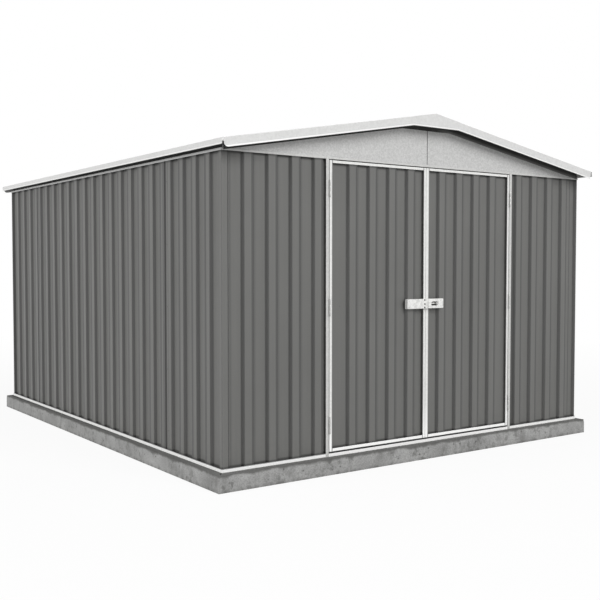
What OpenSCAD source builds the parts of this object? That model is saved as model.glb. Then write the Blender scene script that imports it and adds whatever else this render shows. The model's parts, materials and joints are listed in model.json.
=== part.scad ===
// Gable-roofed sheet-metal tool shed with a pair of hinged doors, on its concrete slab.
// Millimetres, +Z up, origin at the bottom centre of the slab, doors facing -Y.

/* [Shed] */
// Width over the base channels
shed_w = 3060; // [2600:10:3600]
// Depth over the base channels
shed_d = 3640; // [3000:10:4400]
// Wall height from the slab to the top of the top channels
wall_h = 1800; // [1600:10:2100]
// Thickness of the concrete slab
slab_t = 100; // [75:5:150]
// How far the slab reaches past the base channels
slab_margin = 48; // [20:1:48]

/* [Sheeting] */
// Thickness of the ribbed sheets and gable sheets
sheet_t = 0.8; // [0.5:0.1:1.2]
// Depth of the ribs
rib_depth = 18; // [8:0.5:20]
// Spacing of the ribs on side walls, back wall, doors and roof
rib_pitch = 158; // [140:1:180]
// Spacing of the ribs on the two front panels
front_rib_pitch = 163; // [145:1:170]
// Width of a rib at half its depth
rib_w = 72; // [60:1:80]
// Run of a rib's sloping side, seen in plan
rib_slope = 10; // [8:1:12]
// First rib of a side wall, from the front corner
side_first_rib = 128; // [90:1:140]
// Ribs on the front corner sheet of a side wall
corner_ribs = 4; // [3:1:5]
// Ribs on the rear corner sheet of a side wall
rear_ribs = 5; // [4:1:6]
// Spacing of the two ribs beside a seam
seam_pitch = 84; // [84:1:110]
// How far one sheet laps over the next
sheet_lap = 20; // [10:1:24]
// Return of the corner sheets round the corner
corner_return = 84; // [80:1:95]
// Crest of a front corner sheet along its side wall
side_crest = 37; // [25:1:60]
// Crest of the left front corner sheet along the front
left_crest = 50; // [15:1:52]
// Crest of the right front corner sheet along the front
right_crest = 18; // [15:1:52]
// First rib of the left front panel, from the corner
left_first_rib = 143; // [110:1:145]
// First rib of the right front panel, from the jamb
right_first_rib = 45; // [20:1:50]

/* [Channels] */
// Thickness of channels, trims and frames
channel_t = 1.2; // [0.8:0.1:1.6]
// Room on each side of a sheet in its channel
channel_fit = 0.2; // [0.1:0.05:0.4]
// Height of the base channels
base_h = 22; // [18:1:30]
// Height of the door threshold
threshold_h = 20; // [15:1:22]
// Height of the top channels
top_h = 14; // [12:1:24]

/* [Doors] */
// Half the clear width between the two jambs
jamb_half = 788; // [700:1:850]
// Visible width of a jamb
jamb_w = 22; // [20:1:35]
// Width of the stop lip behind each door edge
stop_w = 20; // [12:1:25]
// Gap between a door leaf and what is beside it
door_gap = 5; // [5:0.5:8]
// Gap between a door leaf and the threshold
sill_gap = 8; // [6:0.5:12]
// Gap between a door leaf and the top channel
head_gap = 6; // [5:0.5:10]
// Width of the hinge stile
hinge_stile_w = 20; // [18:1:35]
// Width of the meeting stile
meeting_stile_w = 21; // [18:1:30]
// Height of the bottom rail
rail_h = 20; // [15:1:30]
// Height of the top rail
top_rail_h = 16; // [12:1:30]
// Ribs on a door leaf
door_ribs = 4; // [3:1:4]
// First rib of the left door leaf, from the hinge edge
left_door_rib = 145; // [110:1:146]
// First rib of the right door leaf, from the hinge edge
right_door_rib = 126; // [110:1:146]
// Height of the brace across the back of a door leaf
brace_h = 40; // [30:1:60]
// Depth of the brace across the back of a door leaf
brace_d = 10; // [6:1:14]

/* [Hinges] */
// Height of the lowest hinge above the slab
hinge_low = 190; // [150:5:250]
// Height of the highest hinge above the slab
hinge_high = 1610; // [1450:5:1650]
// Length of a hinge
hinge_len = 104; // [80:2:130]
// Outer radius of a hinge barrel
barrel_r = 5; // [4:0.25:6]
// Radius of a hinge pin
pin_r = 2.5; // [2:0.1:3]
// Room between a hinge pin and its barrel
pin_play = 0.08; // [0.05:0.01:0.15]
// How far a hinge pin stands in front of the door face
pin_out = 6.5; // [6.5:0.25:8]
// Depth of a hinge leaf on the edge of the door
hinge_leaf_d = 11; // [8:0.5:12]
// Gap along the pin between neighbouring barrels
barrel_gap = 1; // [0.5:0.1:2]

/* [Latch] */
// Height of the latch centre above the slab
latch_z = 905; // [800:5:1000]
// Length of the left latch cover
left_latch_len = 176; // [150:1:190]
// Length of the right latch cover
right_latch_len = 131; // [130:1:170]
// Height of each latch cover
latch_h = 62; // [50:1:80]
// How far the latch covers stand out
latch_d = 24; // [20:1:28]
// Thickness of the latch covers
latch_t = 1.5; // [1:0.1:2]
// Radius of the slide bolt
bolt_r = 6; // [5:0.25:7]
// Room between the slide bolt and its guides
bolt_play = 0.15; // [0.1:0.05:0.3]
// Travel of the slide bolt
bolt_travel = 30; // [25:1:32]
// Length of the slide bolt
bolt_len = 120; // [114:1:122]
// Width of the tab on the slide bolt
tab_w = 20; // [17:1:24]
// Thickness of the tab on the slide bolt
tab_t = 14; // [8:0.5:16]
// How far the tab stands out of its cover
tab_out = 12; // [8:1:16]
// Room round the tab in its slot
slot_gap = 6; // [5:0.25:7]
// Thickness of the bolt guides
guide_t = 3; // [2:0.5:4]
// Distance of the first bolt guide from the open end of its cover
guide_in = 6; // [3:0.5:10]
// Distance of the withdrawn bolt from the open end of its cover
bolt_in = 2.5; // [2:0.5:5]
// Distance of the tab from the open end of its cover, with the bolt withdrawn
tab_in = 57; // [54:1:62]
// Rounding of the latch covers' corners
latch_round = 5; // [2:0.5:8]
// Distance of each latch cover from the edge of its door
latch_edge = 1; // [0.5:0.25:3]

/* [Roof] */
// Pitch of the roof in degrees
roof_pitch = 9.9; // [6:0.1:14]
// Height of the roof surface above the wall top, at the face of a side wall
eave_rise = 49; // [45:1:90]
// How far the roof reaches past the side walls
eave_out = 46; // [46:1:90]
// How far the roof reaches past the front and back walls
gable_out = 90; // [60:1:120]
// Depth of the barge caps, square to the roof
barge_h = 46; // [40:1:70]
// Width of the flanges that lie on the roof sheets
cap_flange = 30; // [20:1:45]
// Length of the drip lips
lip_len = 9; // [8:1:16]
// Lean of the drip lips in degrees
lip_lean = 15; // [10:1:40]
// Gap between the end of a barge cap and the eave trim
barge_gap = 12; // [1:0.5:16]
// Rounding of the barge caps' lower outer corners
barge_round = 24; // [8:1:28]
// Half the length of the apex pieces
apex_half = 195; // [150:5:260]
// Depth of the eave trims above their lip
eave_h = 27; // [20:1:34]
// Width of each side of the ridge cap
ridge_cap_w = 110; // [80:5:160]
// Half the width of the ridge beam
beam_half = 25; // [20:1:40]
// Depth of the ridge beam
beam_d = 45; // [30:1:70]
// Width of the ridge beam's flanges
beam_flange = 35; // [25:1:50]
// Gap left between a roof sheet and the ridge line
ridge_gap = 6; // [4:0.5:12]
// How far a gable sheet runs past the centre of its lap
gable_lap = 18; // [10:1:30]

/* [Hidden] */
$fn = 48;
half_w = shed_w / 2;
half_d = shed_d / 2;
// Channel width over both flanges, with room for two lapped sheets
channel_w = 2 * channel_t + rib_depth + 2 * sheet_t + 2 * channel_fit;
// Outer face of a rib behind the outer face of its channel
crest_in = channel_t + channel_fit;
valley_in = crest_in + rib_depth;
sheet_h = wall_h - 2 * channel_t;
// Seams of a side wall, as rib positions from the front corner
side_seam_rib = side_first_rib + (corner_ribs - 1) * rib_pitch;
side_mid_rib = side_seam_rib + seam_pitch;
rear_run = seam_pitch + (rear_ribs - 1) * rib_pitch + rib_slope;
side_mid_ribs = floor((shed_d - side_mid_rib - rear_run) / rib_pitch) + 1;
side_rear_rib = side_mid_rib + (side_mid_ribs - 1) * rib_pitch + seam_pitch;
// Edge of the outer sheet on a seam's rib
seam_in = seam_pitch / 2;
// Front face of jambs and doors
face_y = -half_d - channel_t;
leaf_d = 2 * channel_t + rib_depth + sheet_t + 2 * channel_fit;
stop_y = face_y + leaf_d + door_gap;
leaf_w = jamb_half - 1.5 * door_gap;
leaf_x = jamb_half - door_gap;
leaf_bottom = slab_t + threshold_h + sill_gap;
leaf_top = slab_t + wall_h - top_h - head_gap;
jamb_out = jamb_half + jamb_w;
panel_w = half_w - jamb_half - channel_t;
left_front_ribs = floor((panel_w - left_first_rib - rib_w - rib_slope) / front_rib_pitch) + 1;
right_front_ribs = floor((panel_w - jamb_w - right_first_rib - rib_w - corner_return) / front_rib_pitch) + 1;
back_ribs = floor((shed_w - 2 * corner_return - rib_pitch) / rib_pitch);
back_edge = (shed_w - back_ribs * rib_pitch - rib_pitch + rib_w) / 2;
// Hinge axis, from the centre of the doorway
axis_x = jamb_half - door_gap / 2;
axis_y = face_y - pin_out;
hinge_zs = [hinge_low, (hinge_low + hinge_high) / 2, hinge_high];
barrel_len = (hinge_len - 2 * barrel_gap) / 3;
hinge_leaf_t = channel_t;
// Latch, measured from the centre of the doorway
latch_in = door_gap / 2 + latch_edge;
bolt_y = face_y - latch_d / 2;
bolt_start = latch_in + bolt_in;
tab_start = latch_in + tab_in;
slot_start = tab_start - bolt_travel - slot_gap;
slot_len = bolt_travel + tab_w + 2 * slot_gap;
guide_xs = [latch_in + guide_in, slot_start + slot_len + guide_t];
// Roof planes, measured from the apex line down each slope
apex_z = slab_t + wall_h + eave_rise + half_w * tan(roof_pitch);
cap_t = channel_t;
roof_half_d = half_d + gable_out;
eave_x = half_w + eave_out;
seat = 0.1;
roof_crest = -cap_t - seat;
roof_valley = roof_crest - rib_depth;
under_n = sheet_t - roof_valley;
roof_ribs = floor((2 * roof_half_d - 2 * cap_flange) / rib_pitch);
steel = [0.42, 0.42, 0.41];
zinc = [0.9, 0.9, 0.89];
galvanised = [0.78, 0.78, 0.77];
concrete = [0.6, 0.6, 0.58];

// Height of the roof's outer surface, and of its underside, at a distance from the ridge line
function roof_z(x) = apex_z - abs(x) * tan(roof_pitch);
function under_z(x) = roof_z(x) - (under_n + seat) / cos(roof_pitch);

// Unit normal to the left of the line from a to b
function left_normal(a, b) = [a.y - b.y, b.x - a.x] / norm(b - a);

// Corner i of a folded path, moved sideways by t with mitred bends
function moved(path, i, t) =
    let (last = len(path) - 1,
         before = left_normal(path[max(i - 1, 0)], path[max(i, 1)]),
         after = left_normal(path[min(i, last - 1)], path[min(i + 1, last)]))
    path[i] + t * (before + after) / (1 + before * after);

// Outline of a sheet of thickness t folded along a path
function folded(path, t) =
    concat(path, [for (i = [len(path) - 1:-1:0]) moved(path, i, t)]);

// One rib, as a path from valley to valley, with d as the depth behind the crest
function rib(at, crest, valley) =
    [[at - rib_slope / 2, valley], [at + rib_slope / 2, crest],
     [at + rib_w - rib_slope / 2, crest], [at + rib_w + rib_slope / 2, valley]];

// A row of ribs at one spacing
function ribs(first, pitch, count, crest, valley) =
    [for (i = [0:1:count - 1]) each rib(first + i * pitch, crest, valley)];

// The falling end of a rib whose crest starts at another sheet, and its rising start
function rib_end(at, crest, valley) =
    [[at + rib_w - rib_slope / 2, crest], [at + rib_w + rib_slope / 2, valley]];
function rib_start(at, crest, valley) =
    [[at - rib_slope / 2, valley], [at + rib_slope / 2, crest]];

// Ribs that find room on a door leaf before its meeting stile
function leaf_ribs(first) =
    floor((leaf_w - meeting_stile_w - rib_w - rib_slope - first) / rib_pitch) + 1;

module along_x(length) { rotate([90, 0, 90]) linear_extrude(length) children(); }
module along_y(length) { translate([0, length, 0]) rotate([90, 0, 0]) linear_extrude(length) children(); }
module both_sides() {
    children();
    mirror([1, 0, 0]) children();
}
// Right roof slope: x runs down the slope from the apex line, z is square to the roof
module on_slope() { translate([0, 0, apex_z]) rotate([0, roof_pitch, 0]) children(); }
module upright_sheet(path, t) {
    translate([0, 0, slab_t + channel_t]) linear_extrude(sheet_h) polygon(folded(path, t));
}

module concrete_slab() {
    color(concrete)
        translate([-half_w - slab_margin, -half_d - slab_margin, 0])
            cube([shed_w + 2 * slab_margin, shed_d + 2 * slab_margin, slab_t]);
}

// Channel sections, as a path across the wall from its outer face
module channel_section(height, open_up) {
    foot = open_up ? 0 : height;
    rim = height - foot;
    path = [[0, rim], [0, foot], [channel_w, foot], [channel_w, rim]];
    polygon(folded(path, open_up ? channel_t : -channel_t));
}
// Plan of a wall's channel with its ends mitred at the corners of the shed
module mitred_plan(length, height) {
    translate([0, 0, -1])
        linear_extrude(height + 2)
            polygon([[-length / 2, 0], [length / 2, 0], [length / 2 - channel_w, channel_w],
                     [-length / 2 + channel_w, channel_w]]);
}
module front_channel(length, height, open_up) {
    intersection() {
        translate([-length / 2, 0, 0]) along_x(length) channel_section(height, open_up);
        mitred_plan(length, height);
    }
}
module channel_front(z, height, open_up) {
    translate([0, -half_d, z]) front_channel(shed_w, height, open_up);
}
module channel_left(z, height, open_up) {
    translate([-half_w, 0, z]) rotate([0, 0, -90]) front_channel(shed_d, height, open_up);
}
module left_base_channel() { color(zinc) channel_left(slab_t, base_h, true); }
module right_base_channel() { mirror([1, 0, 0]) left_base_channel(); }
module back_base_channel() { color(zinc) mirror([0, 1, 0]) channel_front(slab_t, base_h, true); }
module front_base_channels() {
    color(zinc)
        difference() {
            channel_front(slab_t, base_h, true);
            translate([-jamb_half - channel_t, -half_d - 1, slab_t - 1])
                cube([2 * (jamb_half + channel_t), channel_w + 2, base_h + 2]);
        }
}
module door_threshold() {
    color(zinc)
        translate([-jamb_half, -half_d, slab_t]) along_x(2 * jamb_half) channel_section(threshold_h, false);
}
module left_top_channel() { color(zinc) channel_left(slab_t + wall_h - top_h, top_h, false); }
module right_top_channel() { mirror([1, 0, 0]) left_top_channel(); }
module back_top_channel() {
    color(zinc) mirror([0, 1, 0]) channel_front(slab_t + wall_h - top_h, top_h, false);
}
module front_top_channel() { color(zinc) channel_front(slab_t + wall_h - top_h, top_h, false); }

// Side wall paths run from the front corner to the back; x is the depth behind the wall face
function left_wall_path(run) = [for (p = run) [-half_w + p.y, -half_d + p.x]];
// Front corner sheets turn the corner on a crest, drawn as the left one
module front_corner_sheet(front_crest) {
    crest = crest_in + sheet_t;
    valley = valley_in + sheet_t;
    front = concat([[corner_return, valley]],
                   [for (i = [1, 0]) rib_end(front_crest - rib_w, crest, valley)[i]]);
    run = concat([[crest, crest]], rib_end(side_crest - rib_w, crest, valley),
                 ribs(side_first_rib, rib_pitch, corner_ribs - 1, crest, valley),
                 rib_start(side_seam_rib, crest, valley), [[side_seam_rib + seam_in + sheet_lap, crest]]);
    color(steel)
        upright_sheet(concat([for (p = front) [-half_w + p.x, -half_d + p.y]], left_wall_path(run)),
                      -sheet_t);
}
module left_front_corner_sheet() { front_corner_sheet(left_crest); }
module left_wall_sheet() {
    last = side_mid_rib + (side_mid_ribs - 1) * rib_pitch;
    run = concat([[side_seam_rib + seam_in, crest_in]], rib_end(side_seam_rib, crest_in, valley_in),
                 ribs(side_mid_rib, rib_pitch, side_mid_ribs - 1, crest_in, valley_in),
                 rib_start(last, crest_in, valley_in), [[last + seam_in, crest_in]]);
    color(steel) upright_sheet(left_wall_path(run), -sheet_t);
}
module left_rear_corner_sheet() {
    crest = crest_in + sheet_t;
    valley = valley_in + sheet_t;
    before = side_rear_rib - seam_pitch;
    last = side_rear_rib + (rear_ribs - 1) * rib_pitch;
    run = concat([[before + seam_in - sheet_lap, crest]], rib_end(before, crest, valley),
                 ribs(side_rear_rib, rib_pitch, rear_ribs - 1, crest, valley),
                 rib_start(last, crest, valley), [[shed_d - crest, crest]]);
    return_end = [[-half_w + corner_return, half_d - crest]];
    color(steel) upright_sheet(concat(left_wall_path(run), return_end), -sheet_t);
}
module right_front_corner_sheet() { mirror([1, 0, 0]) front_corner_sheet(right_crest); }
module right_wall_sheet() { mirror([1, 0, 0]) left_wall_sheet(); }
module right_rear_corner_sheet() { mirror([1, 0, 0]) left_rear_corner_sheet(); }
module back_wall_sheet() {
    lap = corner_return - sheet_lap;
    run = concat([[lap, crest_in]], rib_end(back_edge - rib_w, crest_in, valley_in),
                 ribs(back_edge + rib_pitch - rib_w, rib_pitch, back_ribs, crest_in, valley_in),
                 rib_start(shed_w - back_edge, crest_in, valley_in), [[shed_w - lap, crest_in]]);
    color(steel) upright_sheet([for (p = run) [-half_w + p.x, half_d - p.y]], -sheet_t);
}
module front_left_sheet() {
    run = concat([[corner_return - sheet_lap, valley_in]],
                 ribs(left_first_rib, front_rib_pitch, left_front_ribs, crest_in, valley_in),
                 [[panel_w, valley_in]]);
    color(steel) upright_sheet([for (p = run) [-half_w + p.x, -half_d + p.y]], sheet_t);
}
module front_right_sheet() {
    run = concat([[jamb_half + channel_t, valley_in]],
                 ribs(jamb_out + right_first_rib, front_rib_pitch, right_front_ribs, crest_in, valley_in),
                 [[half_w - corner_return + sheet_lap, valley_in]]);
    color(steel) upright_sheet([for (p = run) [p.x, -half_d + p.y]], sheet_t);
}

// A jamb is one folded strip: cover flange, reveal and door stop
module left_jamb() {
    path = [[-jamb_out, face_y], [-jamb_half, face_y], [-jamb_half, stop_y], [-jamb_half + stop_w, stop_y]];
    color(zinc)
        difference() {
            translate([0, 0, slab_t]) linear_extrude(wall_h) polygon(folded(path, channel_t));
            translate([-jamb_out - 1, -half_d, slab_t + wall_h - top_h])
                cube([jamb_w + stop_w + 2, channel_w, top_h + 1]);
        }
}
module right_jamb() { mirror([1, 0, 0]) left_jamb(); }

// Gable sheets stand on the top channel and lap at the middle
module gable_outline(from, to) {
    foot = slab_t + wall_h;
    polygon([[from, foot], [to, foot], [to, under_z(to)], [0, under_z(0)], [from, under_z(from)]]);
}
module front_gable_sheets() {
    edge = half_w - channel_w / 2;
    color(galvanised) {
        translate([0, -half_d + channel_t, 0]) along_y(sheet_t) gable_outline(-edge, gable_lap);
        translate([0, -half_d + channel_t + sheet_t + seat, 0])
            along_y(sheet_t) gable_outline(-gable_lap, edge);
    }
}
module rear_gable_sheets() { rotate([0, 0, 180]) front_gable_sheets(); }

// Rails that carry the roof sheets on the side walls, and the beam under the ridge
module eave_rails() {
    inner = half_w - channel_w + channel_t;
    outer = half_w - channel_t;
    foot = slab_t + wall_h;
    path = [[outer, foot], [inner, foot], [inner, under_z(inner)], [outer, under_z(outer)]];
    length = shed_d - 2 * (channel_t + 2 * sheet_t + 2 * seat);
    color(galvanised)
        both_sides()
            translate([0, -length / 2, 0]) along_y(length) polygon(folded(path, -channel_t));
}
module ridge_beam() {
    tip = beam_half + beam_flange;
    drop = under_z(beam_half) - beam_d;
    side = [[tip, under_z(tip)], [beam_half, under_z(beam_half)], [beam_half, drop]];
    path = concat(side, [for (i = [2:-1:0]) [-side[i].x, side[i].y]]);
    length = shed_d - 2 * (channel_t + 2 * sheet_t + 2 * seat);
    color(galvanised)
        translate([0, -length / 2, 0]) along_y(length) polygon(folded(path, channel_t));
}

module right_roof_sheet() {
    slack = (2 * roof_half_d - (roof_ribs - 1) * rib_pitch - rib_w) / 2;
    edge = roof_half_d - cap_t - seat;
    path = concat([[-edge, roof_valley]],
                  ribs(slack - roof_half_d, rib_pitch, roof_ribs, roof_crest, roof_valley),
                  [[edge, roof_valley]]);
    length = (eave_x - cap_t - seat) / cos(roof_pitch) - ridge_gap;
    color(galvanised)
        on_slope() translate([ridge_gap, 0, 0]) along_x(length) polygon(folded(path, -sheet_t));
}
module left_roof_sheet() { mirror([1, 0, 0]) right_roof_sheet(); }
module ridge_cap() {
    tip = ridge_cap_w * cos(roof_pitch);
    path = [[-tip, roof_z(tip)], [0, apex_z], [tip, roof_z(tip)]];
    length = 2 * (roof_half_d - cap_flange);
    color(zinc) translate([0, -length / 2, 0]) along_y(length) polygon(folded(path, -cap_t));
}
module eave_trims() {
    inner = eave_x - cap_flange;
    lip_z = roof_z(eave_x) - eave_h;
    path = [[inner, roof_z(inner)], [eave_x, roof_z(eave_x)], [eave_x, lip_z],
            [eave_x + lip_len * sin(lip_lean), lip_z - lip_len * cos(lip_lean)]];
    color(zinc)
        both_sides()
            difference() {
                translate([0, -roof_half_d, 0]) along_y(2 * roof_half_d) polygon(folded(path, -cap_t));
                for (y = [-roof_half_d, roof_half_d - cap_flange])
                    translate([inner - 1, y - seat, lip_z])
                        cube([cap_flange + 1 - cap_t, cap_flange + 2 * seat, 2 * eave_h]);
            }
}

// Barge caps fold over the front and back edges of the roof sheets, down to a drip lip
function barge_face(top, bottom) =
    [[-roof_half_d, top], [-roof_half_d, bottom],
     [-roof_half_d - lip_len * sin(lip_lean), bottom - lip_len * cos(lip_lean)]];
// What a fillet takes off the lower outer corner of a barge cap
module barge_corner(end) {
    foot = barge_h + lip_len * cos(lip_lean);
    centre = [end - barge_round, roof_z(end - barge_round) + (barge_round - foot) / cos(roof_pitch)];
    difference() {
        polygon([centre - barge_round * [sin(roof_pitch), cos(roof_pitch)],
                 [end, roof_z(end) - foot / cos(roof_pitch)], [end, centre.y]]);
        translate(centre) circle(barge_round);
    }
}
module front_barge_caps() {
    path = concat([[-roof_half_d + cap_flange, 0]], barge_face(0, -barge_h));
    end = eave_x - cap_t - barge_gap;
    color(zinc)
        both_sides()
            difference() {
                intersection() {
                    on_slope() along_x(2 * eave_x) polygon(folded(path, cap_t));
                    translate([apex_half, -roof_half_d - lip_len, 0])
                        cube([end - apex_half, lip_len + cap_flange, 2 * apex_z]);
                }
                translate([0, -roof_half_d - lip_len, 0]) along_y(2 * lip_len) barge_corner(end);
            }
}
module rear_barge_caps() { mirror([0, 1, 0]) front_barge_caps(); }
module front_apex_cap() {
    foot = roof_z(apex_half) - barge_h / cos(roof_pitch);
    outline = [[-apex_half, foot - lip_len], [apex_half, foot - lip_len], [apex_half, roof_z(apex_half)],
               [0, apex_z], [-apex_half, roof_z(apex_half)]];
    color(zinc) {
        intersection() {
            translate([-apex_half, 0, 0])
                along_x(2 * apex_half) polygon(folded(barge_face(apex_z, foot), cap_t));
            translate([0, -roof_half_d - lip_len, 0]) along_y(2 * lip_len) polygon(outline);
        }
        both_sides()
            intersection() {
                on_slope()
                    translate([-apex_half, -roof_half_d, -cap_t]) cube([3 * apex_half, cap_flange, cap_t]);
                translate([0, -roof_half_d, 0]) cube([apex_half, cap_flange, 2 * apex_z]);
            }
    }
}
module rear_apex_cap() { mirror([0, 1, 0]) front_apex_cap(); }

// Door leaves, drawn as the left leaf; x runs from the hinge edge at -leaf_x to the meeting edge
module door_sheet(first_rib) {
    run = concat([[channel_t, valley_in]],
                 ribs(first_rib, rib_pitch, min(door_ribs, leaf_ribs(first_rib)), crest_in, valley_in),
                 [[leaf_w - channel_t, valley_in]]);
    color(steel)
        translate([-leaf_x, face_y, leaf_bottom + channel_t])
            linear_extrude(leaf_top - leaf_bottom - 2 * channel_t) polygon(folded(run, sheet_t));
}
module left_door_sheet() { door_sheet(left_door_rib); }
module right_door_sheet() { mirror([1, 0, 0]) door_sheet(right_door_rib); }
module stile_section(width) {
    polygon(folded([[width, 0], [0, 0], [0, leaf_d], [width, leaf_d]], -channel_t));
}
module left_door_stiles() {
    color(zinc)
        translate([0, face_y, leaf_bottom])
            linear_extrude(leaf_top - leaf_bottom) {
                translate([-leaf_x, 0]) stile_section(hinge_stile_w);
                translate([-leaf_x + leaf_w, 0]) mirror([1, 0]) stile_section(meeting_stile_w);
            }
}
module right_door_stiles() { mirror([1, 0, 0]) left_door_stiles(); }
module rail_section(foot, rim) {
    path = [[0, rim], [0, foot], [leaf_d, foot], [leaf_d, rim]];
    polygon(folded(path, rim > foot ? channel_t : -channel_t));
}
// Brace behind the ribs, as an open hat
module brace_section() {
    back = valley_in + sheet_t;
    foot = latch_z + slab_t - brace_h / 2;
    step = brace_h / 4;
    polygon(folded([[back, foot], [back, foot + step], [back + brace_d, foot + step],
                    [back + brace_d, foot + brace_h - step], [back, foot + brace_h - step],
                    [back, foot + brace_h]], -channel_t));
}
module left_door_rails() {
    length = leaf_w - hinge_stile_w - meeting_stile_w;
    color(zinc)
        translate([-leaf_x + hinge_stile_w, face_y, 0])
            along_x(length) {
                rail_section(leaf_bottom, leaf_bottom + rail_h);
                rail_section(leaf_top, leaf_top - top_rail_h);
                brace_section();
            }
}
module right_door_rails() { mirror([1, 0, 0]) left_door_rails(); }

// Hinges at the edges of the doorway; the pin is fixed to the jamb's half
module left_jamb_hinge() {
    leaf_in = -door_gap / 2;
    for (z = [0, hinge_len - barrel_len]) {
        translate([0, 0, z]) cylinder(h = barrel_len, r = barrel_r);
        translate([leaf_in, pin_r, z]) cube([hinge_leaf_t, pin_out + hinge_leaf_d - pin_r, barrel_len]);
    }
    translate([leaf_in, pin_out, 0]) cube([hinge_leaf_t, hinge_leaf_d, hinge_len]);
    cylinder(h = hinge_len, r = pin_r);
}
module left_door_hinge() {
    leaf_in = door_gap / 2 - hinge_leaf_t;
    z = barrel_len + barrel_gap;
    difference() {
        union() {
            translate([0, 0, z]) cylinder(h = barrel_len, r = barrel_r);
            translate([leaf_in, pin_r, z]) cube([hinge_leaf_t, pin_out + hinge_leaf_d - pin_r, barrel_len]);
        }
        translate([0, 0, z - 1]) cylinder(h = barrel_len + 2, r = pin_r + pin_play);
    }
    translate([leaf_in, pin_out, 0]) cube([hinge_leaf_t, hinge_leaf_d, hinge_len]);
}
module hinge_places() {
    for (z = hinge_zs)
        translate([-axis_x, axis_y, slab_t + z - hinge_len / 2]) children();
}
module jamb_hinges() { color(galvanised) both_sides() hinge_places() left_jamb_hinge(); }
module left_door_hinges() { color(galvanised) hinge_places() left_door_hinge(); }
module right_door_hinges() { mirror([1, 0, 0]) left_door_hinges(); }

// Latch covers are trays open to the door and to each other, drawn as the right one
module latch_outline(length, rim) {
    square([length / 2, latch_h - 2 * rim]);
    translate([rim, 0]) rounded_bar(length - 2 * rim, latch_h - 2 * rim, latch_round - rim);
}
// Rectangle from the origin with rounded corners
module rounded_bar(length, height, r) {
    translate([0, r]) square([length, height - 2 * r]);
    translate([r, 0]) square([length - 2 * r, height]);
    for (x = [r, length - r], y = [r, height - r])
        translate([x, y]) circle(r);
}
// Bar from the origin with half-round ends
module round_ended(length, height) {
    translate([height / 2, 0]) square([length - height, height]);
    for (x = [height / 2, length - height / 2])
        translate([x, height / 2]) circle(d = height);
}
// Places an outline drawn from the latch's end and foot on the front of the door, down to a depth
module on_latch(x, out, depth, height) {
    translate([x, face_y - out, slab_t + latch_z - height / 2]) along_y(depth) children();
}
module latch_tray(length) {
    difference() {
        on_latch(latch_in, latch_d, latch_d, latch_h) latch_outline(length, 0);
        on_latch(latch_in - 1, latch_d - latch_t, latch_d, latch_h - 2 * latch_t)
            square([length / 2, latch_h - 2 * latch_t]);
        on_latch(latch_in, latch_d - latch_t, latch_d, latch_h - 2 * latch_t) latch_outline(length, latch_t);
    }
}
module left_latch_cover() { color(galvanised) mirror([1, 0, 0]) latch_tray(left_latch_len); }
module right_latch_cover() {
    slot_h = tab_t + 2 * slot_gap;
    guide_h = latch_h - 2 * latch_t;
    color(galvanised)
        difference() {
            union() {
                latch_tray(right_latch_len);
                for (x = guide_xs)
                    on_latch(x, latch_d - latch_t, latch_d - latch_t, guide_h) square([guide_t, guide_h]);
            }
            on_latch(slot_start, latch_d + 1, latch_t + 2, slot_h) round_ended(slot_len, slot_h);
            translate([0, bolt_y, slab_t + latch_z])
                rotate([0, 90, 0]) cylinder(h = guide_xs[1] + 2 * guide_t, r = bolt_r + bolt_play);
        }
}
module slide_bolt() {
    reach = latch_d / 2 + tab_out;
    color(zinc) {
        translate([bolt_start, bolt_y, slab_t + latch_z])
            rotate([0, 90, 0]) cylinder(h = bolt_len, r = bolt_r);
        on_latch(tab_start, latch_d + tab_out, reach, tab_t) round_ended(tab_w, tab_t);
    }
}

concrete_slab();
left_base_channel();
right_base_channel();
back_base_channel();
front_base_channels();
door_threshold();
left_top_channel();
right_top_channel();
back_top_channel();
front_top_channel();
left_front_corner_sheet();
left_wall_sheet();
left_rear_corner_sheet();
right_front_corner_sheet();
right_wall_sheet();
right_rear_corner_sheet();
back_wall_sheet();
front_left_sheet();
front_right_sheet();
left_jamb();
right_jamb();
front_gable_sheets();
rear_gable_sheets();
eave_rails();
ridge_beam();
left_roof_sheet();
right_roof_sheet();
ridge_cap();
eave_trims();
front_barge_caps();
rear_barge_caps();
front_apex_cap();
rear_apex_cap();
jamb_hinges();
left_door_sheet();
left_door_stiles();
left_door_rails();
left_door_hinges();
left_latch_cover();
right_door_sheet();
right_door_stiles();
right_door_rails();
right_door_hinges();
right_latch_cover();
slide_bolt();
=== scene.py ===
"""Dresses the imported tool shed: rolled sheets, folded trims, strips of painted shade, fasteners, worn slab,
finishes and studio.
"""

import json
import math

import bpy
from mathutils import Matrix, Vector
from mathutils.bvhtree import BVHTree


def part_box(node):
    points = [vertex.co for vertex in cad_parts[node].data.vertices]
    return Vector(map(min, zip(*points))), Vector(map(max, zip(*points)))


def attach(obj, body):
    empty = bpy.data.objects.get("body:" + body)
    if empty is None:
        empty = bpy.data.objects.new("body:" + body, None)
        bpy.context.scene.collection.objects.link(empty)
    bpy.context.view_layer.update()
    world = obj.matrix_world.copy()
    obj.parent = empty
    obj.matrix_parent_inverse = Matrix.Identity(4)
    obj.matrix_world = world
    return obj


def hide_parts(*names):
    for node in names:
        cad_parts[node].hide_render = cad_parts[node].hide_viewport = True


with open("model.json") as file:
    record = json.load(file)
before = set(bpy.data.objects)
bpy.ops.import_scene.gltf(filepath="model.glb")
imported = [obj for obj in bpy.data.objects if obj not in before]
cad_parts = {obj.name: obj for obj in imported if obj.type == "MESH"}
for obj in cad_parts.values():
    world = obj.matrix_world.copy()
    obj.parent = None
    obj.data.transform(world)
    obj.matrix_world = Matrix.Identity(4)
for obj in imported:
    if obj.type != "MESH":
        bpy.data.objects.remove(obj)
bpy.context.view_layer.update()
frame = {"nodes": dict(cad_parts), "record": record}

# Sizes of the shed, in metres, as in the part's source
HALF_W = 1.530
HALF_D = 1.820
SLAB_T = 0.100
WALL_TOP = 1.900
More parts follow.
